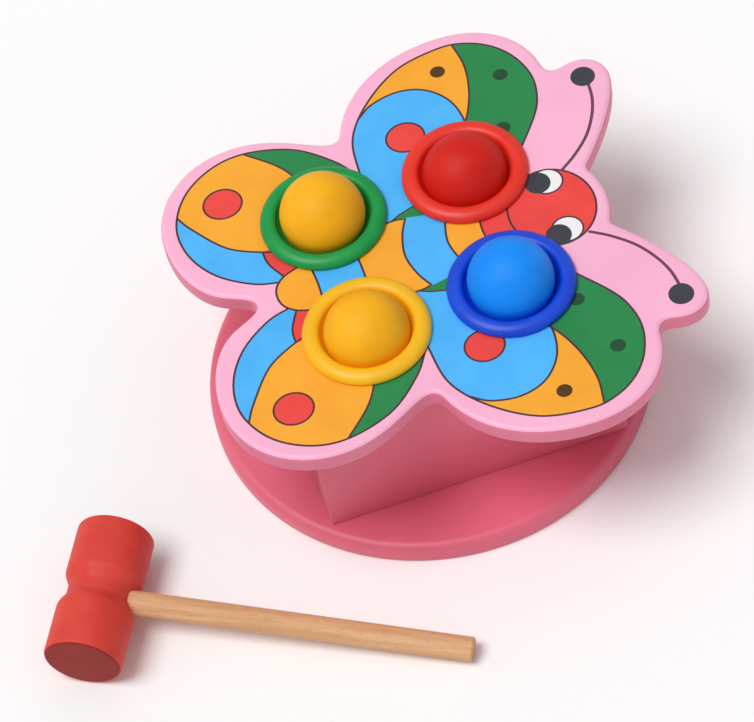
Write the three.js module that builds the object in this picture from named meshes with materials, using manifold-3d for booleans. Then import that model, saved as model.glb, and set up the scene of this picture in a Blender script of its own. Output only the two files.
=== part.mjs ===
// Ball pounding box: a butterfly board with four soft rings and four balls, carried by walls on a round
// base, with a ramp inside that rolls the balls out at the tail, and a hammer that lies beside it.
// Millimetres, +Z up. The origin is the centre of the base's underside, and +X points to the head.
import * as THREE from "three";
import { mergeVertices } from "three/addons/utils/BufferGeometryUtils.js";
import Module from "manifold-3d";

const wasm = await Module();
wasm.setup();

// Clearances
const seatGap = 0.2; // glue line between pieces that sit on each other
const fitGap = 0.3; // air round a piece in its hole

// Round base
const baseDiameter = 240;
const baseThickness = 12;
const baseEdgeRadius = 5;
const baseFootRadius = 1.5;

// Walls
const wallHeight = 82;
const wallTail = -79; // open end of the side walls
const wallThickness = 12;
const headWallThickness = 10;

// Butterfly board
const boardThickness = 12;
const boardEdgeRadius = 3;

// Balls and the rings that hold them
const ballDiameter = 45;
const ringPitch = 78; // between ring centres, along and across
const ringCentreX = 5; // middle of the four rings, towards the head from the base's centre
const lipGrip = 1; // how much narrower the free lip is than the ball
const lipDepth = 1; // upper edge of the lip below the board's top
const lipHeight = 1.4;
const mouthRoom = 2.2; // air between the ball and the mouth above the lip
const neckWall = 3.5;
const flangeWidth = 5.3; // flange beyond the neck
const flangeHeight = 5.5;
const flangeEdge = 1; // upright edge of the flange under its round top
const beadOverlap = 1; // snap bead beyond the hole, under the board
const beadHeight = 2.4;
const throatFlare = 0.6; // how much wider the throat is than the mouth at its lower end
const wallRoom = 1.5; // between the snap beads and the walls
const pushedRise = 0.5; // centre of a half driven ball above its lip

// Ramp and its wedges
const rampSlope = 8; // degrees, falling to the tail
const rampThickness = 6;
const wedgeWidth = 10;
const wedgeTailHeight = 2.5;

// Dowels between the walls and the board
const dowelDiameter = 6;
const dowelInWall = 15;
const dowelCover = 3; // board left above a dowel
const dowelChamfer = 0.8;

// Screws up through the base
const screwShank = 4;
const screwHead = 8;
const screwLength = 34;
const screwSunk = 0.4; // head below the base's underside
const screwRim = 0.5;
const screwTip = 3;

// Fasteners: from the ends of a side wall, and from the middle of the head wall
const sideFastenerInset = 27;
const headFastenerY = 40;

// Hammer, lying in front of the tail
const hammerX = -206;
const hammerY = -85;
const hammerTurn = -28; // degrees, direction of the handle
const headDiameter = 41;
const headLength = 78;
const headEdgeRadius = 2;
const waistDiameter = 34.6;
const waistFlat = 5;
const waistWidth = 22;
const handleDiameter = 13;
const handleReach = 197; // from the head's axis to the handle's end
const handleSeat = 6; // handle past the head's axis
const handleChamfer = 0.8;

// Smoothness
const roundSteps = 36;
const pinSteps = 12;
const arcSteps = 3;
const curveSteps = 6;
const boardEdgeSteps = 2;
const ballSteps = 24;

// Half of the board's outline as curves from the tail notch to the head: two handles and an end each.
const tailNotch = [-82.5, 0];
const halfOutline = [
  [[-82.5, 5], [-91, 7], [-99, 12]], // out of the tail notch
  [[-109, 18.5], [-117.5, 34], [-117.5, 55]], // hind wing, tail side
  [[-117.5, 84], [-95, 105], [-67, 105]], // hind wing, tip
  [[-49, 105], [-36, 96.5], [-26, 91]], // hind wing, to the gap
  [[-19, 87], [-13, 84.5], [-10, 91]], // gap between the wings
  [[0, 119], [26, 134.5], [57, 134.5]], // fore wing, to its tip
  [[85, 134.5], [102, 117], [104.5, 96]], // fore wing, head side
  [[105.5, 88], [110, 88], [115, 89.5]], // gap beside the feeler
  [[126, 93], [137, 87], [136.3, 75]], // round end of the feeler
  [[135.5, 60], [120, 38], [106, 22]], // inner side of the feeler
  [[103, 18.5], [105.5, 17], [106.5, 13]], // gap beside the head
  [[108, 8.5], [108.5, 5], [108.5, 0]], // head
];

// Sizes that follow
const baseTop = baseThickness;
const wallFoot = baseTop + seatGap;
const wallTop = wallFoot + wallHeight;
const boardFoot = wallTop + seatGap;
const boardTop = boardFoot + boardThickness;
const ballRadius = ballDiameter / 2;
const lipRadius = ballRadius - lipGrip / 2;
const stretchedLipRadius = ballRadius + fitGap;
const mouthRadius = ballRadius + mouthRoom;
const neckRadius = mouthRadius + neckWall;
const holeRadius = neckRadius + fitGap;
const flangeRadius = neckRadius + flangeWidth;
const beadRadius = holeRadius + beadOverlap;
const wallInside = ringPitch / 2 + beadRadius + wallRoom;
const wallMiddle = wallInside + wallThickness / 2;
const headWallInside = ringCentreX + ringPitch / 2 + beadRadius + wallRoom;
const headWallX = headWallInside + headWallThickness / 2;
const wallHead = headWallInside + headWallThickness;
const wallLength = wallHead - wallTail;
const wallCentreX = (wallHead + wallTail) / 2;
const headRadius = headDiameter / 2;
const handleRadius = handleDiameter / 2;
// A free ball rests on the lip's upper edge, and a driven one is gripped just above its widest part.
const freeRise = Math.sqrt((ballRadius + fitGap) ** 2 - lipRadius ** 2);
const freeBallZ = boardTop - lipDepth + freeRise;
const drivenBallZ = boardTop - lipDepth + pushedRise;

// Materials
function paint(colour, roughness) {
  return new THREE.MeshStandardMaterial({ color: colour, roughness, metalness: 0 });
}
const pinkBoardPaint = paint(0xf9b2cf, 0.45);
const pinkBodyPaint = paint(0xdc6377, 0.5);
const bareWood = paint(0xd7a578, 0.65);
const redSoft = paint(0xe23a34, 0.4);
const greenSoft = paint(0x23964a, 0.4);
const yellowSoft = paint(0xf7b92b, 0.4);
const blueSoft = paint(0x2c52d6, 0.4);
const redLacquer = paint(0xc92a24, 0.35);
const yellowLacquer = paint(0xf2b02d, 0.35);
const blueLacquer = paint(0x0b84f5, 0.35);
const steel = new THREE.MeshStandardMaterial({ color: 0xb8bcc2, roughness: 0.35, metalness: 1 });

// A closed geometry as a solid that can be cut.
function solidOf(geometry) {
  const bare = geometry.clone();
  bare.deleteAttribute("normal");
  bare.deleteAttribute("uv");
  const merged = mergeVertices(bare);
  const corners = merged.index.array;
  const triangles = [];
  for (let i = 0; i < corners.length; i += 3) {
    const [a, b, c] = corners.slice(i, i + 3);
    if (a !== b && b !== c && c !== a) triangles.push(a, b, c);
  }
  const mesh = new wasm.Mesh({
    numProp: 3,
    vertProperties: merged.attributes.position.array,
    triVerts: new Uint32Array(triangles),
  });
  return new wasm.Manifold(mesh);
}

function geometryOf(solid) {
  const mesh = solid.getMesh();
  const geometry = new THREE.BufferGeometry();
  geometry.setAttribute("position", new THREE.BufferAttribute(mesh.vertProperties, 3));
  geometry.setIndex(new THREE.BufferAttribute(mesh.triVerts, 1));
  geometry.computeVertexNormals();
  return geometry;
}

// The geometry with every tool cut out of it.
function cut(geometry, tools) {
  let solid = solidOf(geometry);
  for (const tool of tools) solid = solid.subtract(solidOf(tool));
  return geometryOf(solid);
}

// A profile of [radius, height] pairs turned round the Z axis.
function turned(profile, steps) {
  const points = profile.map(([radius, height]) => new THREE.Vector2(radius, height));
  return new THREE.LatheGeometry(points, steps).rotateX(Math.PI / 2);
}

// A round hole or pin along Z.
function rod(radius, bottom, top, x, y, steps = pinSteps) {
  const geometry = new THREE.CylinderGeometry(radius, radius, top - bottom, steps);
  return geometry.rotateX(Math.PI / 2).translate(x, y, (bottom + top) / 2);
}

// An arc of [radius, height] pairs, ends included, angles in degrees.
function arc(centreR, centreZ, reachR, reachZ, from, to, steps = arcSteps) {
  return Array.from({ length: steps + 1 }, (_, i) => {
    const angle = THREE.MathUtils.degToRad(from + ((to - from) * i) / steps);
    return [centreR + reachR * Math.cos(angle), centreZ + reachZ * Math.sin(angle)];
  });
}

// A slab whose outline lies in the XZ plane, wide along Y from the given side.
function uprightSlab(corners, width, fromY) {
  const shape = new THREE.Shape(corners.map(([x, z]) => new THREE.Vector2(x, z)));
  const geometry = new THREE.ExtrudeGeometry(shape, { depth: width, bevelEnabled: false });
  return geometry.rotateX(Math.PI / 2).translate(0, fromY + width, 0);
}

const root = new THREE.Group();

function add(parent, name, geometry, material, position = [0, 0, 0]) {
  const mesh = new THREE.Mesh(geometry, material);
  mesh.name = name;
  mesh.position.set(...position);
  parent.add(mesh);
}

// Places of the fasteners, two in each wall
const fastenerPlaces = [
  ["front_tail", wallTail + sideFastenerInset, -wallMiddle],
  ["front_head", wallHead - sideFastenerInset, -wallMiddle],
  ["back_tail", wallTail + sideFastenerInset, wallMiddle],
  ["back_head", wallHead - sideFastenerInset, wallMiddle],
  ["head_front", headWallX, -headFastenerY],
  ["head_back", headWallX, headFastenerY],
];

// Screw, pointing up from its head, with air round it for the hole
function screwProfile(air) {
  const head = screwHead / 2 + air;
  const shank = screwShank / 2 + air;
  const rim = screwSunk + screwRim;
  const neck = rim + head - shank;
  const foot = air > 0 ? -air : screwSunk;
  const end = screwSunk + screwLength + air;
  return [[0, foot], [head, foot], [head, rim], [shank, neck], [shank, end - screwTip], [0, end]];
}

const dowelBottom = wallTop - dowelInWall;
const dowelTop = boardTop - dowelCover;

function screwHoles(originX, originY, originZ) {
  return fastenerPlaces.map(([, x, y]) =>
    turned(screwProfile(fitGap), pinSteps).translate(x - originX, y - originY, -originZ),
  );
}

function dowelHoles(originX, originY, originZ) {
  return fastenerPlaces.map(([, x, y]) =>
    rod(dowelDiameter / 2 + fitGap, dowelBottom - fitGap, dowelTop + fitGap, x, y).translate(
      -originX,
      -originY,
      -originZ,
    ),
  );
}

// Base
const baseRadius = baseDiameter / 2;
const baseProfile = [
  [0, 0],
  ...arc(baseRadius - baseFootRadius, baseFootRadius, baseFootRadius, baseFootRadius, -90, 0, 2),
  ...arc(baseRadius - baseEdgeRadius, baseTop - baseEdgeRadius, baseEdgeRadius, baseEdgeRadius, 0, 90),
  [0, baseTop],
];
add(root, "base_disc", cut(turned(baseProfile, 2 * roundSteps), screwHoles(0, 0, 0)), pinkBodyPaint);

// Walls
function addWall(name, sizeX, sizeY, x, y) {
  const middle = wallFoot + wallHeight / 2;
  const panel = new THREE.BoxGeometry(sizeX, sizeY, wallHeight);
  const holes = [...screwHoles(x, y, middle), ...dowelHoles(x, y, middle)];
  add(root, name, cut(panel, holes), pinkBodyPaint, [x, y, middle]);
}
addWall("front_wall", wallLength, wallThickness, wallCentreX, -wallMiddle);
addWall("back_wall", wallLength, wallThickness, wallCentreX, wallMiddle);
addWall("head_wall", headWallThickness, 2 * (wallInside - seatGap), headWallX, 0);

// Board
const ringPlaces = {
  red: [ringCentreX + ringPitch / 2, ringPitch / 2],
  blue: [ringCentreX + ringPitch / 2, -ringPitch / 2],
  green: [ringCentreX - ringPitch / 2, ringPitch / 2],
  yellow: [ringCentreX - ringPitch / 2, -ringPitch / 2],
};

function boardGeometry() {
  const half = new THREE.Path().moveTo(...tailNotch);
  for (const [first, second, end] of halfOutline) half.bezierCurveTo(...first, ...second, ...end);
  const one = half.getPoints(curveSteps);
  const other = one.slice(1, -1).reverse();
  const outline = [...one, ...other.map((point) => new THREE.Vector2(point.x, -point.y))];
  return new THREE.ExtrudeGeometry(new THREE.Shape(outline), {
    depth: boardThickness - 2 * boardEdgeRadius,
    bevelThickness: boardEdgeRadius,
    bevelSize: boardEdgeRadius,
    bevelOffset: -boardEdgeRadius,
    bevelSegments: boardEdgeSteps,
  }).translate(0, 0, boardEdgeRadius);
}

const ringHoles = Object.values(ringPlaces).map(([x, y]) =>
  rod(holeRadius, -fitGap, boardThickness + fitGap, x, y, roundSteps),
);
const board = cut(boardGeometry(), [...ringHoles, ...dowelHoles(0, 0, boardFoot)]);
add(root, "top_board", board, pinkBoardPaint, [0, 0, boardFoot]);

// Rings: heights from the board's top
function ringGeometry(lip) {
  const flangeMiddle = (mouthRadius + flangeRadius) / 2;
  const flangeHalf = (flangeRadius - mouthRadius) / 2;
  const shoulder = seatGap + flangeEdge;
  const beadTop = -boardThickness - seatGap;
  const beadFoot = beadTop - beadHeight;
  const profile = [
    [lip, -lipDepth - lipHeight],
    [mouthRadius + throatFlare, beadFoot],
    [neckRadius, beadFoot],
    [beadRadius, beadTop - beadHeight / 2],
    [beadRadius, beadTop],
    [neckRadius, beadTop],
    [neckRadius, seatGap],
    [flangeRadius, seatGap],
    ...arc(flangeMiddle, shoulder, flangeHalf, flangeHeight - shoulder, 0, 180, 2 * arcSteps),
    [lip, -lipDepth],
    [lip, -lipDepth - lipHeight],
  ];
  return turned(profile, roundSteps);
}

const rings = [
  ["ring_red", "red", stretchedLipRadius, redSoft, "ball_red", drivenBallZ, redLacquer],
  ["ring_blue", "blue", lipRadius, blueSoft, "ball_blue", freeBallZ, blueLacquer],
  ["ring_green", "green", lipRadius, greenSoft, "ball_yellow_back", freeBallZ, yellowLacquer],
  ["ring_yellow", "yellow", stretchedLipRadius, yellowSoft, "ball_yellow_front", drivenBallZ, yellowLacquer],
];
const ballGeometry = new THREE.SphereGeometry(ballRadius, ballSteps, ballSteps / 2).rotateX(Math.PI / 2);
for (const [ringName, place, lip, soft, ballName, ballZ, lacquer] of rings) {
  const [x, y] = ringPlaces[place];
  add(root, ringName, ringGeometry(lip), soft, [x, y, boardTop]);
  add(root, ballName, ballGeometry, lacquer, [x, y, ballZ]);
}

// Ramp on its two wedges
const rampTail = wallTail;
const rampHead = headWallInside - seatGap;
const rampRise = (rampHead - rampTail) * Math.tan(THREE.MathUtils.degToRad(rampSlope));
const rampDepth = rampThickness / Math.cos(THREE.MathUtils.degToRad(rampSlope));
const wedgeFoot = baseTop + seatGap;
const wedgeTailTop = wedgeFoot + wedgeTailHeight;
const rampFoot = wedgeTailTop + seatGap;
const rampCorners = [
  [rampTail, rampFoot],
  [rampHead, rampFoot + rampRise],
  [rampHead, rampFoot + rampRise + rampDepth],
  [rampTail, rampFoot + rampDepth],
];
const wedgeCorners = [
  [rampTail, wedgeFoot],
  [rampHead, wedgeFoot],
  [rampHead, wedgeTailTop + rampRise],
  [rampTail, wedgeTailTop],
];
const wedgeOutside = wallInside - seatGap;
add(root, "ramp", uprightSlab(rampCorners, 2 * wedgeOutside, -wedgeOutside), pinkBodyPaint);
add(root, "ramp_wedge_front", uprightSlab(wedgeCorners, wedgeWidth, -wedgeOutside), bareWood);
add(root, "ramp_wedge_back", uprightSlab(wedgeCorners, wedgeWidth, wedgeOutside - wedgeWidth), bareWood);

// Fasteners
const dowelRadius = dowelDiameter / 2;
const dowelProfile = [
  [0, dowelBottom],
  [dowelRadius - dowelChamfer, dowelBottom],
  [dowelRadius, dowelBottom + dowelChamfer],
  [dowelRadius, dowelTop - dowelChamfer],
  [dowelRadius - dowelChamfer, dowelTop],
  [0, dowelTop],
];
for (const [place, x, y] of fastenerPlaces) {
  add(root, "dowel_" + place, turned(dowelProfile, pinSteps), bareWood, [x, y, 0]);
  add(root, "screw_" + place, turned(screwProfile(0), pinSteps), steel, [x, y, 0]);
}

// Hammer: the head lies on the ground along the group's Y axis, and the handle droops along +X.
const droop = Math.asin(headRadius / Math.hypot(handleReach, handleRadius)) - Math.atan2(handleRadius, handleReach);
const hammer = new THREE.Group();
hammer.position.set(hammerX, hammerY, headRadius);
hammer.rotation.set(0, droop, THREE.MathUtils.degToRad(hammerTurn), "ZYX");
root.add(hammer);

// Half of the head's section from the middle of its waist to its end: a smooth shoulder, then a straight barrel
function headProfile() {
  const waistRadius = waistDiameter / 2;
  const flat = waistFlat / 2;
  const shoulder = waistWidth / 2 - flat;
  const shoulderSteps = arcSteps + 1;
  const half = Array.from({ length: shoulderSteps + 1 }, (_, i) => {
    const share = i / shoulderSteps;
    const rise = (1 - Math.cos(Math.PI * share)) / 2;
    return [waistRadius + (headRadius - waistRadius) * rise, flat + shoulder * share];
  });
  const end = headLength / 2;
  half.push(...arc(headRadius - headEdgeRadius, end - headEdgeRadius, headEdgeRadius, headEdgeRadius, 0, 90));
  half.push([0, end]);
  return [...half.map(([radius, height]) => [radius, -height]).reverse(), ...half];
}
const headPoints = headProfile().map(([radius, height]) => new THREE.Vector2(radius, height));
const headGeometry = new THREE.LatheGeometry(headPoints, roundSteps);
const handleHole = rod(handleRadius + fitGap, -handleSeat - fitGap, headDiameter, 0, 0, pinSteps * 2);
add(hammer, "hammer_head", cut(headGeometry, [handleHole.rotateY(Math.PI / 2)]), redLacquer);
const handleProfile = [
  [0, -handleSeat],
  [handleRadius, -handleSeat],
  [handleRadius, handleReach - handleChamfer],
  [handleRadius - handleChamfer, handleReach],
  [0, handleReach],
];
add(hammer, "hammer_handle", turned(handleProfile, pinSteps * 2).rotateY(Math.PI / 2), bareWood);

export default root;
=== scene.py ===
import math

import bmesh
import bpy
from mathutils import Matrix, Vector
from mathutils.geometry import delaunay_2d_cdt


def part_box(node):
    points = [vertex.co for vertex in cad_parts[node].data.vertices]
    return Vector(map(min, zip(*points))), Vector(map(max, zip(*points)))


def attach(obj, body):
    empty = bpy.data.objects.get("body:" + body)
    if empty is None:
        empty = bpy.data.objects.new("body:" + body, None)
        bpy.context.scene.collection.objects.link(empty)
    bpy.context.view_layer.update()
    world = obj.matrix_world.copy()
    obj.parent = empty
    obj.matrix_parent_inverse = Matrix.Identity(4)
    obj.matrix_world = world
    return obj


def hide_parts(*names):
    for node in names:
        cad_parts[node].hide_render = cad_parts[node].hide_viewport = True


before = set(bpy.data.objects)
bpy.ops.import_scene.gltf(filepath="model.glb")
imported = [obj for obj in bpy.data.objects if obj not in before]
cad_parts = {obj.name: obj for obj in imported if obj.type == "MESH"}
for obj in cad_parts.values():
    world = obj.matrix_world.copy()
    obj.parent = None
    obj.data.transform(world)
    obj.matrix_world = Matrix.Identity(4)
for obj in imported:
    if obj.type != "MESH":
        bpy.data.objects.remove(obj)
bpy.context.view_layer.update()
mm = 0.001
print("frame loaded,", len(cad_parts), "nodes")


# small helpers

def linear(hexColour):
    channels = [int(hexColour[i:i + 2], 16) / 255 for i in (0, 2, 4)]
    return (*[c / 12.92 if c <= 0.04045 else ((c + 0.055) / 1.055) ** 2.4 for c in channels], 1.0)


def addNode(tree, kind, settings, links=None):
    node = tree.nodes.new(kind)
    for key, value in settings.items():
        if isinstance(key, int) or key in node.inputs:
            node.inputs[key].default_value = value
        else:
            setattr(node, key, value)
    for key, source in (links or {}).items():
        tree.links.new(source, node.inputs[key])
    return node


def newMaterial(name):
    material = bpy.data.materials.new(name)
    material.use_nodes = True
    tree = material.node_tree
    tree.nodes.clear()
    return material, tree


def perMm(size):
    # cells per metre for a pattern that repeats every so many millimetres
    return 1 / (size * mm)


def wavePerMm(size):
    # the same for a wave texture, which turns by 20 radians over one unit
    return perMm(size) * 2 * math.pi / 20


# materials; pattern sizes in millimetres, roughness as its least and its most

bumpReach = 0.1 * mm  # how far a bump of full strength stands out
paintCoat = {"cloud": 45, "spread": (0.3, 0.62), "roughness": (0.4, 0.5), "grain": 1.8,
             "grainStretch": 0.06, "grainDepth": 0.1, "peel": 1.3, "peelDepth": 0.08}
inkCoat = {**paintCoat, "cloud": 20, "roughness": (0.38, 0.48)}


def sprayedPaint(name, colour, deep, settings):
    # Satin enamel sprayed on sanded birch: an even coat with a soft orange peel, slightly thinner in
    # clouds, and a trace of the grain raised under it.
    material, tree = newMaterial(name)
    place = addNode(tree, "ShaderNodeTexCoord", {})
    clouds = addNode(tree, "ShaderNodeTexNoise", {"Scale": perMm(settings["cloud"]), "Detail": 3.0},
                     {"Vector": place.outputs["Object"]})
    stretch = addNode(tree, "ShaderNodeMapping", {"Scale": (settings["grainStretch"], 1.0, 1.0)},
                      {"Vector": place.outputs["Object"]})
    grain = addNode(tree, "ShaderNodeTexNoise", {"Scale": perMm(settings["grain"]), "Detail": 4.0},
                    {"Vector": stretch.outputs["Vector"]})
    peel = addNode(tree, "ShaderNodeTexNoise", {"Scale": perMm(settings["peel"]), "Detail": 2.0},
                   {"Vector": place.outputs["Object"]})
    tone = addNode(tree, "ShaderNodeValToRGB", {}, {"Fac": clouds.outputs["Fac"]})
    for stop, position, shade in zip(tone.color_ramp.elements, settings["spread"], (deep, colour)):
        stop.position = position
        stop.color = linear(shade)
    least, most = settings["roughness"]
    rough = addNode(tree, "ShaderNodeMapRange", {"To Min": least, "To Max": most},
                    {"Value": clouds.outputs["Fac"]})
    grainBump = addNode(tree, "ShaderNodeBump",
                        {"Strength": settings["grainDepth"], "Distance": bumpReach},
                        {"Height": grain.outputs["Fac"]})
    peelBump = addNode(tree, "ShaderNodeBump",
                       {"Strength": settings["peelDepth"], "Distance": bumpReach},
                       {"Height": peel.outputs["Fac"], "Normal": grainBump.outputs["Normal"]})
    skin = addNode(tree, "ShaderNodeBsdfPrincipled", {"IOR": 1.5},
                   {"Base Color": tone.outputs["Color"], "Roughness": rough.outputs["Result"],
                    "Normal": peelBump.outputs["Normal"]})
    addNode(tree, "ShaderNodeOutputMaterial", {}, {"Surface": skin.outputs["BSDF"]})
    return material


vinylSkin = {"flow": 24, "swirl": 0.8, "spread": (0.3, 0.65), "roughness": (0.36, 0.46), "grit": 0.5,
             "gritDepth": 0.12, "shine": 0.38}


def mouldedVinyl(name, colour, deep):
    # Soft PVC from a satin mould: even colour with a faint flow of pigment and a fine spark-eroded
    # skin. The skin's real grit is about 0.1 mm, drawn at 0.5 mm so that it shows.
    material, tree = newMaterial(name)
    place = addNode(tree, "ShaderNodeTexCoord", {})
    flow = addNode(tree, "ShaderNodeTexNoise",
                   {"Scale": perMm(vinylSkin["flow"]), "Detail": 3.0, "Distortion": vinylSkin["swirl"]},
                   {"Vector": place.outputs["Object"]})
    grit = addNode(tree, "ShaderNodeTexNoise", {"Scale": perMm(vinylSkin["grit"]), "Detail": 2.0},
                   {"Vector": place.outputs["Object"]})
    tone = addNode(tree, "ShaderNodeValToRGB", {}, {"Fac": flow.outputs["Fac"]})
    for stop, position, shade in zip(tone.color_ramp.elements, vinylSkin["spread"], (deep, colour)):
        stop.position = position
        stop.color = linear(shade)
    least, most = vinylSkin["roughness"]
    rough = addNode(tree, "ShaderNodeMapRange", {"To Min": least, "To Max": most},
                    {"Value": flow.outputs["Fac"]})
    bump = addNode(tree, "ShaderNodeBump", {"Strength": vinylSkin["gritDepth"], "Distance": bumpReach},
                   {"Height": grit.outputs["Fac"]})
    skin = addNode(tree, "ShaderNodeBsdfPrincipled", {"IOR": 1.53, "Specular IOR Level": vinylSkin["shine"]},
                   {"Base Color": tone.outputs["Color"], "Roughness": rough.outputs["Result"],
                    "Normal": bump.outputs["Normal"]})
    addNode(tree, "ShaderNodeOutputMaterial", {}, {"Surface": skin.outputs["BSDF"]})
    return material


lacquerCoat = {"ring": 2, "ringWander": 1.5, "ringDepth": 0.06, "fleck": 1.6, "fleckStretch": 0.12,
               "fleckDepth": 0.12, "cloud": 18, "spread": (0.32, 0.6), "roughness": (0.5, 0.62),
               "shine": 0.28}


def turnedLacquer(name, colour, deep, axis):
    # Coloured lacquer dipped over lathe-turned beech: fine tool rings and short grain flecks stay
    # visible under a satin coat. The rings are 0.3 mm apart on the real wood and drawn at 2 mm so that
    # they show.
    material, tree = newMaterial(name)
    place = addNode(tree, "ShaderNodeTexCoord", {})
    aim = addNode(tree, "ShaderNodeMapping", {"Rotation": axis}, {"Vector": place.outputs["Object"]})
    rings = addNode(tree, "ShaderNodeTexWave",
                    {"wave_type": "BANDS", "bands_direction": "X", "Scale": wavePerMm(lacquerCoat["ring"]),
                     "Distortion": lacquerCoat["ringWander"], "Detail": 2.0},
                    {"Vector": aim.outputs["Vector"]})
    stretch = addNode(tree, "ShaderNodeMapping", {"Scale": (lacquerCoat["fleckStretch"], 1.0, 1.0)},
                      {"Vector": aim.outputs["Vector"]})
    fleck = addNode(tree, "ShaderNodeTexNoise", {"Scale": perMm(lacquerCoat["fleck"]), "Detail": 3.0},
                    {"Vector": stretch.outputs["Vector"]})
    clouds = addNode(tree, "ShaderNodeTexNoise", {"Scale": perMm(lacquerCoat["cloud"]), "Detail": 2.0},
                     {"Vector": place.outputs["Object"]})
    tone = addNode(tree, "ShaderNodeValToRGB", {}, {"Fac": clouds.outputs["Fac"]})
    for stop, position, shade in zip(tone.color_ramp.elements, lacquerCoat["spread"], (deep, colour)):
        stop.position = position
        stop.color = linear(shade)
    least, most = lacquerCoat["roughness"]
    rough = addNode(tree, "ShaderNodeMapRange", {"To Min": least, "To Max": most},
                    {"Value": fleck.outputs["Fac"]})
    fleckBump = addNode(tree, "ShaderNodeBump",
                        {"Strength": lacquerCoat["fleckDepth"], "Distance": bumpReach},
                        {"Height": fleck.outputs["Fac"]})
    ringBump = addNode(tree, "ShaderNodeBump",
                       {"Strength": lacquerCoat["ringDepth"], "Distance": bumpReach},
                       {"Height": rings.outputs["Fac"], "Normal": fleckBump.outputs["Normal"]})
    skin = addNode(tree, "ShaderNodeBsdfPrincipled", {"IOR": 1.5, "Specular IOR Level": lacquerCoat["shine"]},
                   {"Base Color": tone.outputs["Color"], "Roughness": rough.outputs["Result"],
                    "Normal": ringBump.outputs["Normal"]})
    addNode(tree, "ShaderNodeOutputMaterial", {}, {"Surface": skin.outputs["BSDF"]})
    return material


beechGrain = {"line": 3, "lineStretch": 0.03, "lineDepth": 0.25, "spread": (0.34, 0.66),
              "roughness": (0.55, 0.72), "fleck": 0.9, "fleckStretch": 0.22, "fleckFrom": 0.6,
              "fleckTo": 0.72, "fleckShare": 0.5}


def bareBeech(name, along, light, dark, fleckColour):
    # Sanded beech left bare: pale tan with long growth lines and the short brown flecks of the rays.
    material, tree = newMaterial(name)
    place = addNode(tree, "ShaderNodeTexCoord", {})
    aim = addNode(tree, "ShaderNodeMapping", {"Rotation": along}, {"Vector": place.outputs["Object"]})
    longWise = addNode(tree, "ShaderNodeMapping", {"Scale": (beechGrain["lineStretch"], 1.0, 1.0)},
                       {"Vector": aim.outputs["Vector"]})
    lines = addNode(tree, "ShaderNodeTexNoise",
                    {"Scale": perMm(beechGrain["line"]), "Detail": 5.0, "Roughness": 0.6},
                    {"Vector": longWise.outputs["Vector"]})
    shortWise = addNode(tree, "ShaderNodeMapping", {"Scale": (beechGrain["fleckStretch"], 1.0, 1.0)},
                        {"Vector": aim.outputs["Vector"]})
    flecks = addNode(tree, "ShaderNodeTexNoise", {"Scale": perMm(beechGrain["fleck"]), "Detail": 1.0},
                     {"Vector": shortWise.outputs["Vector"]})
    tone = addNode(tree, "ShaderNodeValToRGB", {}, {"Fac": lines.outputs["Fac"]})
    for stop, position, shade in zip(tone.color_ramp.elements, beechGrain["spread"], (dark, light)):
        stop.position = position
        stop.color = linear(shade)
    spots = addNode(tree, "ShaderNodeMapRange",
                    {"From Min": beechGrain["fleckFrom"], "From Max": beechGrain["fleckTo"],
                     "To Max": beechGrain["fleckShare"]},
                    {"Value": flecks.outputs["Fac"]})
    # inputs 0, 6 and 7 and output 2 are the mix node's factor, two colours and mixed colour
    mixed = addNode(tree, "ShaderNodeMix", {"data_type": "RGBA", 7: linear(fleckColour)},
                    {0: spots.outputs["Result"], 6: tone.outputs["Color"]})
    least, most = beechGrain["roughness"]
    rough = addNode(tree, "ShaderNodeMapRange", {"To Min": least, "To Max": most},
                    {"Value": lines.outputs["Fac"]})
    bump = addNode(tree, "ShaderNodeBump", {"Strength": beechGrain["lineDepth"], "Distance": bumpReach},
                   {"Height": lines.outputs["Fac"]})
    skin = addNode(tree, "ShaderNodeBsdfPrincipled", {"IOR": 1.5},
                   {"Base Color": mixed.outputs[2], "Roughness": rough.outputs["Result"],
                    "Normal": bump.outputs["Normal"]})
    addNode(tree, "ShaderNodeOutputMaterial", {}, {"Surface": skin.outputs["BSDF"]})
    return material


sawnEnd = {"ring": 1.5, "ringWander": 2.0, "pore": 0.5, "poreDepth": 0.4, "roughness": (0.7, 0.85)}


def sawnEndGrain(name, light, dark):
    # The handle's sawn end: growth rings 1.5 mm apart and open pores, darker than the long side.
    material, tree = newMaterial(name)
    place = addNode(tree, "ShaderNodeTexCoord", {})
    rings = addNode(tree, "ShaderNodeTexWave",
                    {"wave_type": "RINGS", "rings_direction": "SPHERICAL",
                     "Scale": wavePerMm(sawnEnd["ring"]), "Distortion": sawnEnd["ringWander"],
                     "Detail": 2.0},
                    {"Vector": place.outputs["Object"]})
    pores = addNode(tree, "ShaderNodeTexNoise", {"Scale": perMm(sawnEnd["pore"]), "Detail": 2.0},
                    {"Vector": place.outputs["Object"]})
    tone = addNode(tree, "ShaderNodeValToRGB", {}, {"Fac": rings.outputs["Fac"]})
    tone.color_ramp.elements[0].color = linear(dark)
    tone.color_ramp.elements[1].color = linear(light)
    least, most = sawnEnd["roughness"]
    rough = addNode(tree, "ShaderNodeMapRange", {"To Min": least, "To Max": most},
                    {"Value": pores.outputs["Fac"]})
    bump = addNode(tree, "ShaderNodeBump", {"Strength": sawnEnd["poreDepth"], "Distance": bumpReach},
                   {"Height": pores.outputs["Fac"]})
    skin = addNode(tree, "ShaderNodeBsdfPrincipled", {"IOR": 1.5},
                   {"Base Color": tone.outputs["Color"], "Roughness": rough.outputs["Result"],
                    "Normal": bump.outputs["Normal"]})
    addNode(tree, "ShaderNodeOutputMaterial", {}, {"Surface": skin.outputs["BSDF"]})
    return material


zincPlate = {"crystal": 0.8, "dark": "9a9ea4", "light": "c6cad0", "roughness": (0.25, 0.42)}


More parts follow.
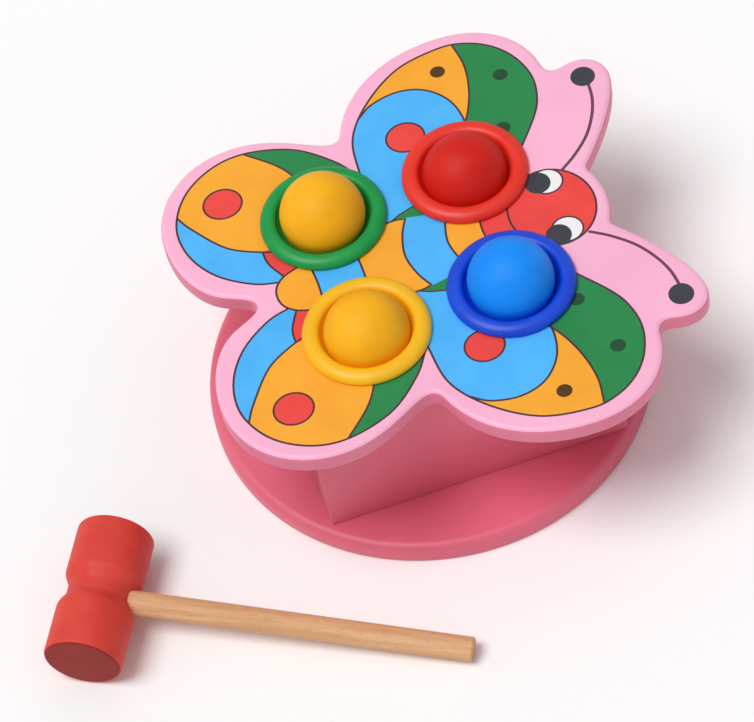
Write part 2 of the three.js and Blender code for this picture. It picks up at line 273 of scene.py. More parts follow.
def zincPlatedSteel(name):
    # Bright zinc plate on cold-headed steel: grey mirror broken by small crystals.
    material, tree = newMaterial(name)
    place = addNode(tree, "ShaderNodeTexCoord", {})
    crystals = addNode(tree, "ShaderNodeTexNoise", {"Scale": perMm(zincPlate["crystal"]), "Detail": 3.0},
                       {"Vector": place.outputs["Object"]})
    tone = addNode(tree, "ShaderNodeValToRGB", {}, {"Fac": crystals.outputs["Fac"]})
    tone.color_ramp.elements[0].color = linear(zincPlate["dark"])
    tone.color_ramp.elements[1].color = linear(zincPlate["light"])
    least, most = zincPlate["roughness"]
    rough = addNode(tree, "ShaderNodeMapRange", {"To Min": least, "To Max": most},
                    {"Value": crystals.outputs["Fac"]})
    skin = addNode(tree, "ShaderNodeBsdfPrincipled", {"Metallic": 1.0},
                   {"Base Color": tone.outputs["Color"], "Roughness": rough.outputs["Result"]})
    addNode(tree, "ShaderNodeOutputMaterial", {}, {"Surface": skin.outputs["BSDF"]})
    return material


palePink = sprayedPaint("palePinkEnamel", "feb9d7", "fab1d1", paintCoat)
rosePink = sprayedPaint("rosePinkEnamel", "e46a82", "dc627a", paintCoat)
rimPink = sprayedPaint("rimPinkEnamel", "e67d9a", "de7592", paintCoat)
inks = {
    "pink": palePink,
    "orange": sprayedPaint("orangeScreenInk", "fdad2a", "f8a523", inkCoat),
    "blue": sprayedPaint("skyBlueScreenInk", "4dbaff", "45b2fb", inkCoat),
    "green": sprayedPaint("leafGreenScreenInk", "1b8948", "178242", inkCoat),
    "red": sprayedPaint("redScreenInk", "f2463f", "ea3f39", inkCoat),
    "plum": sprayedPaint("plumScreenInk", "4c2e39", "442832", inkCoat),
    "mauve": sprayedPaint("mauveScreenInk", "6c3f55", "64394e", inkCoat),
    "brown": sprayedPaint("brownScreenInk", "553405", "4e2f02", inkCoat),
    "fir": sprayedPaint("firGreenScreenInk", "144a2b", "114526", inkCoat),
    "charcoal": sprayedPaint("charcoalScreenInk", "3a3b45", "33343d", inkCoat),
    "white": sprayedPaint("whiteScreenInk", "f6f3f4", "efecee", inkCoat),
}
vinyl = {
    "red": mouldedVinyl("redVinyl", "ec3627", "e42f21"),
    "green": mouldedVinyl("greenVinyl", "0b9c49", "099342"),
    "yellow": mouldedVinyl("yellowVinyl", "fac018", "f5b812"),
    "blue": mouldedVinyl("blueVinyl", "0b4bda", "0844d0"),
}
# how the tool rings are turned to each piece's lathe axis
latheAxis = {"ball": (0.0, 0.6, 0.4), "mallet": (0.0, 0.0, math.radians(-62))}
lacquer = {
    "red": turnedLacquer("redLacquerBeech", "d81d10", "cd170b", latheAxis["ball"]),
    "yellow": turnedLacquer("yellowLacquerBeech", "fcb510", "f6ad0b", latheAxis["ball"]),
    "blue": turnedLacquer("blueLacquerBeech", "0790ff", "0386f7", latheAxis["ball"]),
    "mallet": turnedLacquer("redLacquerMallet", "dd463a", "d43f33", latheAxis["mallet"]),
    # painted shade: the head's end faces get a darker red than its side, matched to how dark they look in
    # shade
    "malletEndShade": turnedLacquer("redLacquerEndShade", "962014", "8b1a10", latheAxis["mallet"]),
}
handleBeech = bareBeech("sandedBeechHandle", (0.0, 0.0, math.radians(28)), "e3b285", "cf9a69", "b98655")
frameBeech = bareBeech("sandedBeechPlain", (0.0, 0.0, 0.0), "e0b084", "cc9868", "b98655")
endGrain = sawnEndGrain("sawnBeechEnd", "d8a87a", "b88558")
zinc = zincPlatedSteel("zincPlatedSteel")
print("materials made:", len(bpy.data.materials))


# mesh helpers, sizes in millimetres until a mesh is made

def finishMesh(bm, name):
    bmesh.ops.recalc_face_normals(bm, faces=bm.faces)
    bmesh.ops.scale(bm, vec=(mm, mm, mm), verts=bm.verts)
    mesh = bpy.data.meshes.new(name)
    bm.to_mesh(mesh)
    bm.free()
    return mesh


def turnedForm(profile, steps, closed=False):
    bm = bmesh.new()
    rows = []
    for radius, height in profile:
        count = steps if radius else 1
        turns = [2 * math.pi * i / steps for i in range(count)]
        rows.append([bm.verts.new((radius * math.cos(t), radius * math.sin(t), height)) for t in turns])
    pairs = list(zip(rows, rows[1:]))
    if closed:
        pairs.append((rows[-1], rows[0]))
    for low, high in pairs:
        for i in range(steps):
            j = (i + 1) % steps
            corners = [low[i % len(low)], low[j % len(low)], high[j % len(high)], high[i % len(high)]]
            bm.faces.new(list(dict.fromkeys(corners)))
    return bm


def arcPoints(centre, reach, start, end, steps):
    turns = [math.radians(start + (end - start) * i / steps) for i in range(steps + 1)]
    return [(centre[0] + reach[0] * math.cos(t), centre[1] + reach[1] * math.sin(t)) for t in turns]


def softPrism(corners, low, high, radius, steps=4):
    # A board with the outline in XZ, from low to high along Y, its edges eased by a sander.
    bm = bmesh.new()
    near = [bm.verts.new((x, low, z)) for x, z in corners]
    far = [bm.verts.new((x, high, z)) for x, z in corners]
    bm.faces.new(near)
    bm.faces.new(far[::-1])
    for i in range(len(corners)):
        j = (i + 1) % len(corners)
        bm.faces.new((near[i], far[i], far[j], near[j]))
    bmesh.ops.recalc_face_normals(bm, faces=bm.faces)
    bmesh.ops.bevel(bm, geom=bm.edges[:], offset=radius, segments=steps, profile=0.5, affect="EDGES")
    return bm


def moved(bm, matrix):
    bmesh.ops.transform(bm, matrix=matrix, verts=bm.verts)
    return bm


def drilled(mesh, bits):
    # The mesh with every bit cut out of it.
    tool = bmesh.new()
    for bit in bits:
        part = finishMesh(bit, "bit")
        tool.from_mesh(part)
        bpy.data.meshes.remove(part)
    toolMesh = bpy.data.meshes.new("bits")
    tool.to_mesh(toolMesh)
    tool.free()
    work = bpy.data.objects.new("work", mesh)
    cutter = bpy.data.objects.new("cutter", toolMesh)
    for thing in (work, cutter):
        bpy.context.scene.collection.objects.link(thing)
    boolean = work.modifiers.new("drill", "BOOLEAN")
    boolean.operation = "DIFFERENCE"
    boolean.solver = "EXACT"
    boolean.object = cutter
    bpy.context.view_layer.update()
    graph = bpy.context.evaluated_depsgraph_get()
    result = bpy.data.meshes.new_from_object(work.evaluated_get(graph))
    for thing in (work, cutter):
        bpy.data.objects.remove(thing)
    bpy.data.meshes.remove(toolMesh)
    return result


def newPiece(name, mesh, body, nodes, materials, sharp=35):
    # a mesh that already carries its materials gets none here
    piece = bpy.data.objects.new(name, mesh)
    bpy.context.scene.collection.objects.link(piece)
    for material in materials:
        mesh.materials.append(material)
    mesh.shade_smooth()
    mesh.set_sharp_from_angle(angle=math.radians(sharp))
    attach(piece, body)
    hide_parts(*nodes)
    return piece


def nodeBox(name):
    low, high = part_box(name)
    return low / mm, high / mm


# camera, at the photograph's viewing angle with its slight turn

photoView = {"azimuth": -6.76, "elevation": 54.2, "roll": 12.64, "eye": (-160.0, -1117.1, 1585.3),
             "lens": 171.9, "sensor": 36, "farEnd": 100}


def addCamera():
    azimuth, elevation, roll = (math.radians(photoView[k]) for k in ("azimuth", "elevation", "roll"))
    right = Vector((math.cos(azimuth), math.sin(azimuth), 0))
    back = Vector((math.sin(azimuth) * math.cos(elevation), -math.cos(azimuth) * math.cos(elevation),
                   math.sin(elevation)))
    up = back.cross(right)
    turnedRight = right * math.cos(roll) - up * math.sin(roll)
    turnedUp = up * math.cos(roll) + right * math.sin(roll)
    data = bpy.data.cameras.new("photoCamera")
    data.sensor_fit = "HORIZONTAL"
    data.sensor_width = photoView["sensor"]
    data.lens = photoView["lens"]
    data.clip_end = photoView["farEnd"]
    camera = bpy.data.objects.new("photoCamera", data)
    bpy.context.scene.collection.objects.link(camera)
    pose = Matrix((turnedRight, turnedUp, back)).transposed().to_4x4()
    pose.translation = Vector(photoView["eye"]) * mm
    camera.matrix_world = pose
    bpy.context.scene.camera = camera


addCamera()


# base, walls and ramp

fasteners = ["front_tail", "front_head", "back_tail", "back_head", "head_front", "head_back"]
screw = {"head": 8, "shank": 4, "length": 34, "sunk": 0.4, "rim": 0.5, "tip": 3, "air": 0.3,
         "crossWidth": 1.1, "crossLength": 4.4, "crossDepth": 1.6, "cutBelow": 1, "turns": 40,
         "boreTurns": 32}
dowel = {"air": 0.3, "boreTurns": 24}
base = {"edge": 5, "edgeSteps": 10, "foot": 1.5, "footSteps": 4, "turns": 180}
panel = {"edge": 0.6, "cornerFill": 0.15, "wedgeEdge": 0.4, "wedgeTail": 2.5}


def fastenerPlace(place):
    low, high = nodeBox("screw_" + place)
    return (low.x + high.x) / 2, (low.y + high.y) / 2


def screwForm(air, steps):
    head = screw["head"] / 2 + air
    shank = screw["shank"] / 2 + air
    rim = screw["sunk"] + screw["rim"]
    foot = -screw["cutBelow"] if air else screw["sunk"]
    end = screw["sunk"] + screw["length"] + air
    return turnedForm([(0, foot), (head, foot), (head, rim), (shank, rim + head - shank),
                       (shank, end - screw["tip"]), (0, end)], steps)


def screwBits(places):
    bits = []
    for place in places:
        bit = screwForm(screw["air"], screw["boreTurns"])
        bits.append(moved(bit, Matrix.Translation((*fastenerPlace(place), 0))))
    return bits


def dowelBits(places):
    bits = []
    for place in places:
        low, high = nodeBox("dowel_" + place)
        radius = (high.x - low.x) / 2 + dowel["air"]
        ends = (low.z - dowel["air"], high.z + dowel["air"])
        profile = [(0, ends[0]), (radius, ends[0]), (radius, ends[1]), (0, ends[1])]
        bit = turnedForm(profile, dowel["boreTurns"])
        bits.append(moved(bit, Matrix.Translation((*fastenerPlace(place), 0))))
    return bits


def buildBase():
    low, high = nodeBox("base_disc")
    radius = (high.x - low.x) / 2
    foot, edge = base["foot"], base["edge"]
    profile = [(0, low.z)]
    profile += arcPoints((radius - foot, low.z + foot), (foot, foot), -90, 0, base["footSteps"])
    profile += arcPoints((radius - edge, high.z - edge), (edge, edge), 0, 90, base["edgeSteps"])
    profile += [(0, high.z)]
    disc = drilled(finishMesh(turnedForm(profile, base["turns"]), "baseDisc"), screwBits(fasteners))
    newPiece("baseDisc", disc, "box", ["base_disc"], [rosePink])


def buildWalls():
    walls = [("front_wall", "frontWall", fasteners[0:2]), ("back_wall", "backWall", fasteners[2:4]),
             ("head_wall", "headWall", fasteners[4:6])]
    for node, name, places in walls:
        low, high = nodeBox(node)
        corners = [(low.x, low.z), (high.x, low.z), (high.x, high.z), (low.x, high.z)]
        spread = panel["cornerFill"] if node == "head_wall" else 0
        form = softPrism(corners, low.y - spread, high.y + spread, panel["edge"])
        wall = drilled(finishMesh(form, name), dowelBits(places) + screwBits(places))
        newPiece(name, wall, "box", [node], [rosePink])


def buildRamp():
    low, high = nodeBox("ramp")
    wedgeLow, wedgeHigh = nodeBox("ramp_wedge_front")
    rise = wedgeHigh.z - wedgeLow.z - panel["wedgeTail"]
    depth = high.z - low.z - rise
    corners = [(low.x, low.z), (high.x, low.z + rise), (high.x, high.z), (low.x, low.z + depth)]
    form = softPrism(corners, low.y, high.y, panel["edge"])
    newPiece("rollRamp", finishMesh(form, "rollRamp"), "box", ["ramp"], [rosePink])
    for node, name in (("ramp_wedge_front", "rampWedgeFront"), ("ramp_wedge_back", "rampWedgeBack")):
        low, high = nodeBox(node)
        corners = [(low.x, low.z), (high.x, low.z), (high.x, high.z), (low.x, high.z - rise)]
        form = softPrism(corners, low.y, high.y, panel["wedgeEdge"])
        newPiece(name, finishMesh(form, name), "box", [node], [frameBeech])


def buildFasteners():
    half, reach = screw["crossWidth"] / 2, screw["crossLength"] / 2
    corner = [(reach, -half), (reach, half), (half, half)]
    cross = []
    for quarter in range(4):
        turn = Matrix.Rotation(quarter * math.pi / 2, 2)
        cross += [turn @ Vector(c) for c in corner]
    bit = bmesh.new()
    heights = (-screw["cutBelow"], screw["sunk"] + screw["crossDepth"])
    ends = [[bit.verts.new((c.x, c.y, z)) for c in cross] for z in heights]
    bit.faces.new(ends[0])
    bit.faces.new(ends[1])
    for i in range(len(cross)):
        bit.faces.new((ends[0][i - 1], ends[0][i], ends[1][i], ends[1][i - 1]))
    shared = drilled(finishMesh(screwForm(0, screw["turns"]), "countersunkScrew"), [bit])
    for place in fasteners:
        piece = newPiece("screw." + place, shared.copy(), "box", ["screw_" + place], [zinc])
        piece.matrix_world = Matrix.Translation(Vector((*fastenerPlace(place), 0)) * mm)
        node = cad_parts["dowel_" + place]
        node.data.materials.clear()
        node.data.materials.append(frameBeech)


buildBase()
buildWalls()
buildRamp()
buildFasteners()
print("base, walls, ramp and fasteners built")


# rings and balls

ringMould = {"lipDepth": 1, "lipHeight": 1.4, "lipRound": 0.4, "lipSteps": 4, "throat": 25.3, "neck": 28.2,
             "flangeEdge": 1, "underCorner": 0.5, "seat": 0.2, "crest": 27.9, "crownSteps": 14, "flank": 2.6,
             "flankSteps": 10, "bead": 29.5, "beadHeight": 2.4, "turns": 144}
ballTurn = {"steps": 56, "turns": 96, "spigot": 2.2, "tilt": 74}
# radius of the lip and of the rim above it: a half driven ball stretches the lip and draws the rim in
ringHold = {"free": (21.68, 24.9), "driven": (22.58, 24.3)}
ringSets = [
    ("red", "ring_red", "driven", "ball_red", "red_ball", "red"),
    ("blue", "ring_blue", "free", "ball_blue", "blue_ball", "blue"),
    ("green", "ring_green", "free", "ball_yellow_back", "back_yellow_ball", "yellow"),
    ("yellow", "ring_yellow", "driven", "ball_yellow_front", "front_yellow_ball", "yellow"),
]
boardLow, boardHigh = nodeBox("top_board")
ringCentres = []
for ringSet in ringSets:
    ringMiddle = sum(nodeBox(ringSet[1]), Vector()) / 2
    ringCentres.append((ringMiddle.x, ringMiddle.y))


def ringForm(hold, flangeRadius, flangeHeight):
    # heights from the board's top
    lip, rim = ringHold[hold]
    lipRound = ringMould["lipRound"]
    lipFoot = -ringMould["lipDepth"] - ringMould["lipHeight"]
    neck, bead, seat = ringMould["neck"], ringMould["bead"], ringMould["seat"]
    beadTop = boardLow.z - boardHigh.z - seat
    beadFoot = beadTop - ringMould["beadHeight"]
    crest, flank = ringMould["crest"], ringMould["flank"]
    shoulder = seat + ringMould["flangeEdge"]
    profile = [(lip, lipFoot), (ringMould["throat"], beadFoot), (neck, beadFoot)]
    profile += [(bead, beadTop - ringMould["beadHeight"] / 2), (bead, beadTop), (neck, beadTop)]
    profile += [(neck, seat), (flangeRadius - ringMould["underCorner"], seat)]
    profile += arcPoints((crest, shoulder), (flangeRadius - crest, flangeHeight - shoulder), 0, 90,
                         ringMould["crownSteps"])
    profile += arcPoints((crest, flank), (crest - rim, flangeHeight - flank), 90, 180,
                         ringMould["flankSteps"])[1:]
    profile += arcPoints((lip + lipRound, -ringMould["lipDepth"] - lipRound), (lipRound, lipRound), 120, 180,
                         ringMould["lipSteps"])
    return turnedForm(profile, ringMould["turns"], closed=True)


def buildRings():
    for ringColour, ringNode, hold, ballNode, ballBody, ballColour in ringSets:
        low, high = nodeBox(ringNode)
        x, y = (low.x + high.x) / 2, (low.y + high.y) / 2
        form = ringForm(hold, (high.x - low.x) / 2, high.z - boardHigh.z)
        form = moved(form, Matrix.Translation((x, y, boardHigh.z)))
        newPiece("ring." + ringColour, finishMesh(form, ringNode), "box", [ringNode],
                 [vinyl[ringColour]])
        low, high = nodeBox(ballNode)
        radius = (high.z - low.z) / 2
        # a small flat at each pole, where the ball was parted from the lathe
        pole = math.degrees(math.asin(ballTurn["spigot"] / radius))
        profile = arcPoints((0, 0), (radius, radius), -90 + pole, 90 - pole, ballTurn["steps"])
        profile = [(0, profile[0][1])] + profile + [(0, profile[-1][1])]
        form = turnedForm(profile, ballTurn["turns"])
        form = moved(form, Matrix.Rotation(math.radians(ballTurn["tilt"]), 4, "X"))
        form = moved(form, Matrix.Translation((low + high) / 2))
        newPiece(ballNode.replace("_", "."), finishMesh(form, ballNode), ballBody,
                 [ballNode], [lacquer[ballColour]])


buildRings()
print("rings and balls built")


# butterfly board with its print

boardEdge = {"radius": 3, "steps": 8, "paleSteps": 5, "curveSteps": 12, "mitre": 0.5}
boardHole = {"radius": 28.5, "steps": 96, "margin": 0.5}
# limits under which points count as one, and the kind of cut that keeps only what lies inside
boardCut = {"onLoop": 1e-3, "onTop": 1e-4, "below": 1e-5, "weld": 0.0008, "insideOnly": 1}
tailNotch = (-82.5, 0)
halfOutline = [  # two handles and an end for each curve, from the tail notch to the head
    ((-82.5, 5), (-91, 7), (-99, 12)),
    ((-109, 18.5), (-117.5, 34), (-117.5, 55)),
    ((-117.5, 84), (-95, 105), (-67, 105)),
    ((-49, 105), (-36, 96.5), (-26, 91)),
    ((-19, 87), (-13, 84.5), (-10, 91)),
    ((0, 119), (26, 134.5), (57, 134.5)),
    ((85, 134.5), (102, 117), (104.5, 96)),
    ((105.5, 88), (110, 88), (115, 89.5)),
    ((126, 93), (137, 87), (136.3, 75)),
    ((135.5, 60), (120, 38), (106, 22)),
    ((103, 18.5), (105.5, 17), (106.5, 13)),
    ((108, 8.5), (108.5, 5), (108.5, 0)),
]


def boardOutline():
    points = [Vector(tailNotch)]
    steps = boardEdge["curveSteps"]
    for first, second, end in halfOutline:
        start = points[-1]
        for i in range(1, steps + 1):
            t = i / steps
            u = 1 - t
            points.append(start * u ** 3 + Vector(first) * 3 * u * u * t + Vector(second) * 3 * u * t * t
                          + Vector(end) * t ** 3)
    mirrored = [Vector((p.x, -p.y)) for p in points[-2:0:-1]]
    return leftHanded(points + mirrored)


def inset(loop, distance):
    out = []
    for i, point in enumerate(loop):
        before = (point - loop[i - 1]).normalized()
        after = (loop[(i + 1) % len(loop)] - point).normalized()
        normals = [Vector((-d.y, d.x)) for d in (before, after)]
        middle = (normals[0] + normals[1]).normalized()
        out.append(point + middle * distance / max(boardEdge["mitre"], middle.dot(normals[0])))
    return out


def smoothPath(points, steps=8):
    # a smooth curve through every point
    points = [Vector(p) for p in points]
    ends = [points[0] * 2 - points[1]] + points + [points[-1] * 2 - points[-2]]
    path = [points[0]]
    for a, b, c, d in zip(ends, ends[1:], ends[2:], ends[3:]):
        for i in range(1, steps + 1):
            t = i / steps
            path.append(0.5 * (2 * b + (c - a) * t + (2 * a - 5 * b + 4 * c - d) * t * t
                               + (3 * b - a - 3 * c + d) * t ** 3))
    return path


def between(path, start, end):
    near = [path.index(onPath(path, p)) for p in (start, end)]
    return path[near[0]:near[1] + 1] if near[0] <= near[1] else path[near[1]:near[0] + 1][::-1]


def onPath(path, point):
    # the path's own point nearest to the one given
    return min(path, key=lambda p: (p - Vector(point)).length)


def acrossPath(points, steps=8):
    # a smooth curve from the first point over the middle line to its mirror
    return smoothPath(points + [(x, -y) for x, y in points[::-1] if y > 0], steps)


def oval(centre, reachX, reachY, steps=48):
    turns = [2 * math.pi * i / steps for i in range(steps)]
    return [Vector((centre[0] + reachX * math.cos(t), centre[1] + reachY * math.sin(t))) for t in turns]


def leftHanded(loop):
    # the loop with its inside on the left and no point twice
    loop = [p for i, p in enumerate(loop) if (p - loop[i - 1]).length > boardCut["onLoop"]]
    area = sum(a.x * b.y - b.x * a.y for a, b in zip(loop, loop[1:] + loop[:1]))
    return loop if area > 0 else loop[::-1]


def stroke(path, width):
    left, right = [], []
    for i, point in enumerate(path):
        along = (path[min(i + 1, len(path) - 1)] - path[max(i - 1, 0)]).normalized()
        across = Vector((-along.y, along.x)) * width / 2
        left.append(point + across)
        right.append(point - across)
    return left + right[::-1]


printLine = {"width": 1.15, "feeler": 1.7, "leafShare": 0.8}
# where the lines inside a wing meet its outline and each other
foreMeet = {"arc": (2.5, 95.5), "divide": (64.3, 125.5)}
hindMeet = {"arc": (-105.6, 70), "divide": (-62, 97.5), "corner": (-70, 31)}
# one half of the figure; the other half is its mirror
foreWing = smoothPath([(-8, 56), (-4.5, 84), (10, 105), (32, 121), (57, 126), (72, 123.3), (84, 115.8),
                       (92.5, 104.5), (97, 90), (96, 76), (90, 62), (72, 38)], 24)
foreArc = smoothPath([onPath(foreWing, foreMeet["arc"]), (12, 103), (27, 105.8), (41, 101.5), (51, 90),
                      (54.5, 75), (52, 62)])
foreDivide = smoothPath([onPath(foreWing, foreMeet["divide"]), (66, 110), (63.5, 93), (57.5, 77), (48, 62)])
hindWing = smoothPath([(-9, 60), (-18, 74), (-36, 90), (-60, 97.5), (-80, 95), (-98, 83), (-108, 64),
                       (-107, 44), (-97, 26), (-80, 13), (-64, 8)], 24)
hindDivide = smoothPath([onPath(hindWing, hindMeet["divide"]), (-48, 84), (-41, 73), (-37, 60)])
hindArc = smoothPath([onPath(hindWing, hindMeet["arc"]), (-101, 60), (-87, 41), hindMeet["corner"],
                      (-60, 28)])
hindCorner = smoothPath([(-70, 31.5), (-69, 22), (-63, 10)])
leaf = [(-2.5, 23.6), (4, 26.8), (14, 29.8), (24, 31), (24, 18), (14, 21), (4, 22.3)]
trunk = acrossPath([(5, 23.2), (-2, 24), (-25, 22), (-46, 17), (-56, 14.5), (-64, 11.5), (-69.2, 6.5),
                    (-70.8, 0)])
trunkFront = [(27, -19), (42, -14), (60, -12), (60, 12), (42, 14), (27, 19)]
tailStripe = acrossPath([(-49.5, 16), (-48.6, 0)])
waistStripe = acrossPath([(-25.2, 22), (-24.4, 0)])
chestStripe = acrossPath([(6, 23.5), (1.2, 13), (-1.3, 0)])
collarStripe = acrossPath([(27, 19), (24, 11), (22, 0)])
neckStripe = acrossPath([(42.5, 14), (41, 0)])
head = {"centre": (79, 0.6), "reach": (23, 25), "steps": 72}
eye = {"line": (8.8, 8.4), "white": (7.8, 7.4), "pupil": (6.8, 6.9)}
eyePlaces = [((82, 17.6), (77.2, 18.4)), ((82, -15.8), (76.6, -17.8))]  # white and pupil
feeler = smoothPath([(91.5, 21.5), (101, 28.5), (111, 38.5), (118, 50), (122, 61), (123.4, 72)])
knob = ((122.2, 77), 6.6)
spot = {"reach": (4.1, 3.9), "steps": 32}
orangeSpots = [(51.4, 110.6), (48, -111)]
greenSpots = [(82, 95.6), (82, -95), (72, 60.6), (72, -60)]
dot = {"line": (10.9, 10.2), "field": (9.8, 9.1)}
dotPlaces = [(-81, 69.6), (-82.4, -70), (22, 74.6), (19.4, -69.6)]


def printLayers():
    layers = []

    def lay(ink, polygon, mirror):
        layers.append((ink, leftHanded([Vector((p[0], p[1] * mirror)) for p in polygon])))

    # the fields' loose corners lie under a ring, the leaf or the trunk
    for side in (1, -1):
        lay("green", between(hindWing, hindMeet["divide"], hindWing[0]) + [Vector((-30, 50))]
            + hindDivide[::-1], side)
        lay("orange", between(hindWing, hindMeet["divide"], hindMeet["arc"]) + hindArc + [Vector((-40, 40))]
            + hindDivide[::-1], side)
        lay("blue", between(hindWing, hindMeet["arc"], hindWing[-1]) + hindCorner[::-1]
            + between(hindArc, hindMeet["corner"], hindMeet["arc"]), side)
        lay("red", hindCorner + [Vector((-50, 12)), Vector((-50, 30))], side)
        lay("blue", between(foreWing, foreWing[0], foreMeet["arc"]) + foreArc
            + [Vector(p) for p in ((40, 40), (20, 28), (-4, 22), (-14, 40))], side)
        lay("orange", between(foreWing, foreMeet["arc"], foreMeet["divide"]) + foreDivide + foreArc[::-1],
            side)
        lay("green", between(foreWing, foreMeet["divide"], foreWing[-1]) + [Vector((50, 50))]
            + foreDivide[::-1], side)
        for path in (hindWing, hindDivide, hindArc, hindCorner, foreWing, foreArc, foreDivide):
            lay("plum", stroke(path, printLine["width"]), side)
    for side in (1, -1):
        lay("green", leaf, side)
        leafEdge = [Vector(p) for p in leaf[:3]]
        lay("plum", stroke(leafEdge, printLine["width"] * printLine["leafShare"]), side)
    lay("orange", trunk + [Vector(p) for p in trunkFront], 1)
    lay("blue", tailStripe + waistStripe[::-1], 1)
    lay("blue", chestStripe + collarStripe[::-1], 1)
    lay("red", neckStripe + [Vector((62, -12)), Vector((62, 12))], 1)
    for path in (trunk, tailStripe, waistStripe, chestStripe, collarStripe, neckStripe):
        lay("plum", stroke(path, printLine["width"]), 1)
    half = printLine["width"] / 2
    for ink, grow in (("plum", half), ("red", -half)):
        lay(ink, oval(head["centre"], head["reach"][0] + grow, head["reach"][1] + grow, head["steps"]), 1)
    for white, pupil in eyePlaces:
        lay("plum", oval(white, *eye["line"]), 1)
        lay("white", oval(white, *eye["white"]), 1)
        lay("charcoal", oval(pupil, *eye["pupil"]), 1)
    for side in (1, -1):
        lay("mauve", stroke(feeler, printLine["feeler"]), side)
        lay("charcoal", oval(knob[0], knob[1], knob[1]), side)
    for centre in dotPlaces:
        lay("plum", oval(centre, *dot["line"]), 1)
        lay("red", oval(centre, *dot["field"]), 1)
    for ink, centres in (("brown", orangeSpots), ("fir", greenSpots)):
        for centre in centres:
            lay(ink, oval(centre, *spot["reach"], spot["steps"]), 1)
    return layers


def ringDistance(point):
    # from the point to the nearest ring's axis
    return min(math.hypot(point.x - x, point.y - y) for x, y in ringCentres)


def buildBoard():
    outline = boardOutline()
    flat = inset(outline, boardEdge["radius"])
    layers = [("pink", flat)] + printLayers()
    holeReach = boardHole["radius"] + boardHole["margin"]
    holes = [oval(c, boardHole["radius"], boardHole["radius"], boardHole["steps"]) for c in ringCentres]
    points, faces = [], []
    for polygon in [polygon for _, polygon in layers] + holes:
        faces.append(list(range(len(points), len(points) + len(polygon))))
        points += polygon
    cut = delaunay_2d_cdt(points, [], faces, boardCut["insideOnly"], boardCut["onTop"])
    verts, _, triangles, _, _, owners = cut
    inkNames = list(inks)
    bm = bmesh.new()
    top = [bm.verts.new((v.x, v.y, boardHigh.z)) for v in verts]
    for triangle, owner in zip(triangles, owners):
        if 0 not in owner or max(owner) >= len(layers):
            continue
        face = bm.faces.new([top[i] for i in triangle])
        face.material_index = inkNames.index(layers[max(owner)][0])
    bmesh.ops.delete(bm, geom=[v for v in bm.verts if not v.link_faces], context="VERTS")
    # the hole walls go straight down from the top's inner edges
    rims = [e for e in bm.edges if len(e.link_faces) == 1]
    inner = [e for e in rims if ringDistance(e.verts[0].co) < holeReach]
    below = {}
    for edge in inner:
        for vert in edge.verts:
            if vert not in below:
                below[vert] = bm.verts.new((vert.co.x, vert.co.y, boardLow.z))
    for edge in inner:
        a, b = edge.verts
        bm.faces.new((a, b, below[b], below[a]))
    # the rim: pale over the round of the top edge, darker from there down
    radius, steps = boardEdge["radius"], boardEdge["steps"]
    rows = []
    for sign, height in ((1, boardHigh.z - radius), (-1, boardLow.z + radius)):
        part = []
        for i in range(steps + 1):
            turn = math.pi / 2 * (1 - i / steps)
            part.append((radius * (1 - math.cos(turn)), height + sign * radius * math.sin(turn)))
        rows += part if sign == 1 else part[::-1]
    rings = []
    for distance, height in rows:
        rings.append([bm.verts.new((p.x, p.y, height)) for p in inset(outline, distance)])
    rimIndex = len(inkNames)
    for row, (low, high) in enumerate(zip(rings, rings[1:])):
        for i in range(len(outline)):
            j = (i + 1) % len(outline)
            face = bm.faces.new((low[i], low[j], high[j], high[i]))
            face.material_index = 0 if row < boardEdge["paleSteps"] else rimIndex
    # the underside
    foot = [Vector((v.co.x, v.co.y)) for v in rings[-1]]
    points, faces = list(foot), [list(range(len(foot)))]
    for x, y in ringCentres:
        edge = [v.co for v in below.values() if math.hypot(v.co.x - x, v.co.y - y) < holeReach]
        edge.sort(key=lambda co: math.atan2(co.y - y, co.x - x))
        faces.append(list(range(len(points), len(points) + len(edge))))
        points += [Vector((co.x, co.y)) for co in edge]
    cut = delaunay_2d_cdt(points, [], faces, boardCut["insideOnly"], boardCut["below"])
    verts, _, triangles, _, _, owners = cut
    for triangle, owner in zip(triangles, owners):
        if owner != [0]:
            continue
        face = bm.faces.new([bm.verts.new((verts[i].x, verts[i].y, boardLow.z)) for i in triangle])
        face.material_index = rimIndex
    bmesh.ops.remove_doubles(bm, verts=bm.verts, dist=boardCut["weld"])
    loose = [e for e in bm.edges if len(e.link_faces) != 2]
    print("board faces:", len(bm.faces), "open edges:", len(loose))
    mesh = finishMesh(bm, "butterflyBoard")
    newPiece("butterflyBoard", mesh, "box", ["top_board"],
             list(inks.values()) + [rimPink])


buildBoard()
print("board and print built")


# hammer

mallet = {"place": (-206, -85, 20.5), "turn": -28, "headRadius": 20.5, "headLength": 78, "headTurns": 128,
          "edge": 2, "edgeSteps": 8, "endShadeBand": 0.6, "waistRadius": 17.3, "waistFlat": 2.5, "waistHalf": 11,
          "waistSteps": 12, "handleRadius": 6.5, "handleTurns": 64, "reach": 197, "seat": 6, "chamfer": 0.8,
          "air": 0.3, "boreEnd": 40}


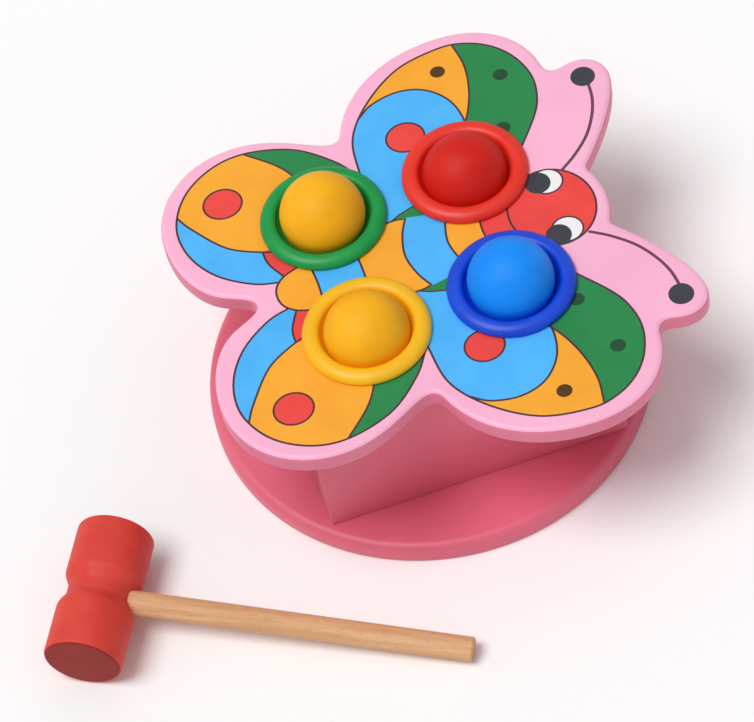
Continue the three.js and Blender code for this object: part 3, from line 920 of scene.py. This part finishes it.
def buildMallet():
    radius, reach, grip = mallet["headRadius"], mallet["reach"], mallet["handleRadius"]
    droop = math.asin(radius / math.hypot(reach, grip)) - math.atan2(grip, reach)
    pose = (Matrix.Translation(mallet["place"]) @ Matrix.Rotation(math.radians(mallet["turn"]), 4, "Z")
            @ Matrix.Rotation(droop, 4, "Y"))
    half = []
    for i in range(mallet["waistSteps"] + 1):
        share = i / mallet["waistSteps"]
        rise = (1 - math.cos(math.pi * share)) / 2
        half.append((mallet["waistRadius"] + (radius - mallet["waistRadius"]) * rise,
                     mallet["waistFlat"] + (mallet["waistHalf"] - mallet["waistFlat"]) * share))
    end, edge = mallet["headLength"] / 2, mallet["edge"]
    half += arcPoints((radius - edge, end - edge), (edge, edge), 0, 90, mallet["edgeSteps"]) + [(0, end)]
    profile = [(r, -z) for r, z in half[::-1]] + half
    headForm = turnedForm(profile, mallet["headTurns"])
    # faces within this band of each end get the darker end red, which is painted shade
    for face in headForm.faces:
        face.material_index = 1 if abs(face.calc_center_median().z) > end - mallet["endShadeBand"] else 0
    moved(headForm, pose @ Matrix.Rotation(-math.pi / 2, 4, "X"))
    whole = finishMesh(headForm, "malletHead")
    for coat in ("mallet", "malletEndShade"):
        whole.materials.append(lacquer[coat])
    lengthWise = pose @ Matrix.Rotation(math.pi / 2, 4, "Y")
    seat, chamfer, bore = mallet["seat"], mallet["chamfer"], grip + mallet["air"]
    boreFoot, boreEnd = -seat - mallet["air"], mallet["boreEnd"]
    profile = [(0, boreFoot), (bore, boreFoot), (bore, boreEnd), (0, boreEnd)]
    bit = moved(turnedForm(profile, mallet["handleTurns"]), lengthWise)
    newPiece("malletHead", drilled(whole, [bit]), "hammer", ["hammer_head"], [])
    profile = [(0, -seat), (grip, -seat), (grip, reach - chamfer), (grip - chamfer, reach), (0, reach)]
    handle = moved(turnedForm(profile, mallet["handleTurns"]), lengthWise)
    # only the sawn ends are fans of triangles
    for face in handle.faces:
        face.material_index = 1 if len(face.verts) == 3 else 0
    newPiece("malletHandle", finishMesh(handle, "malletHandle"), "hammer", ["hammer_handle"],
             [handleBeech, endGrain])


buildMallet()
print("hammer built")


# floor, world and lamps: a plain level at which a colour renders about as it is written

studio = {"sky": "ffffff", "world": 0.45, "sun": 1.9, "sunSpread": 32, "sunFrom": (-0.4, -0.08, 1.0),
          "floor": "fcfcfc", "floorReach": 30000, "floorDrop": 0.2}


def buildStudio():
    bm = bmesh.new()
    bmesh.ops.create_grid(bm, x_segments=1, y_segments=1, size=studio["floorReach"])
    mesh = finishMesh(bm, "floor")
    floor = bpy.data.objects.new("floor", mesh)
    floor.location.z = -studio["floorDrop"] * mm
    bpy.context.scene.collection.objects.link(floor)
    material, tree = newMaterial("paperFloor")
    matte = addNode(tree, "ShaderNodeBsdfDiffuse", {"Color": linear(studio["floor"])})
    addNode(tree, "ShaderNodeOutputMaterial", {}, {"Surface": matte.outputs["BSDF"]})
    mesh.materials.append(material)
    world = bpy.data.worlds.new("studioWorld")
    bpy.context.scene.world = world
    world.use_nodes = True
    tree = world.node_tree
    tree.nodes.clear()
    back = addNode(tree, "ShaderNodeBackground",
                   {"Color": linear(studio["sky"]), "Strength": studio["world"]})
    addNode(tree, "ShaderNodeOutputWorld", {}, {"Surface": back.outputs["Background"]})
    data = bpy.data.lights.new("softSun", "SUN")
    data.energy = studio["sun"]
    data.angle = math.radians(studio["sunSpread"])
    sun = bpy.data.objects.new("softSun", data)
    bpy.context.scene.collection.objects.link(sun)
    sun.rotation_euler = Vector(studio["sunFrom"]).to_track_quat("Z", "Y").to_euler()
    bpy.context.scene.view_settings.view_transform = "Standard"


buildStudio()
print("studio built")
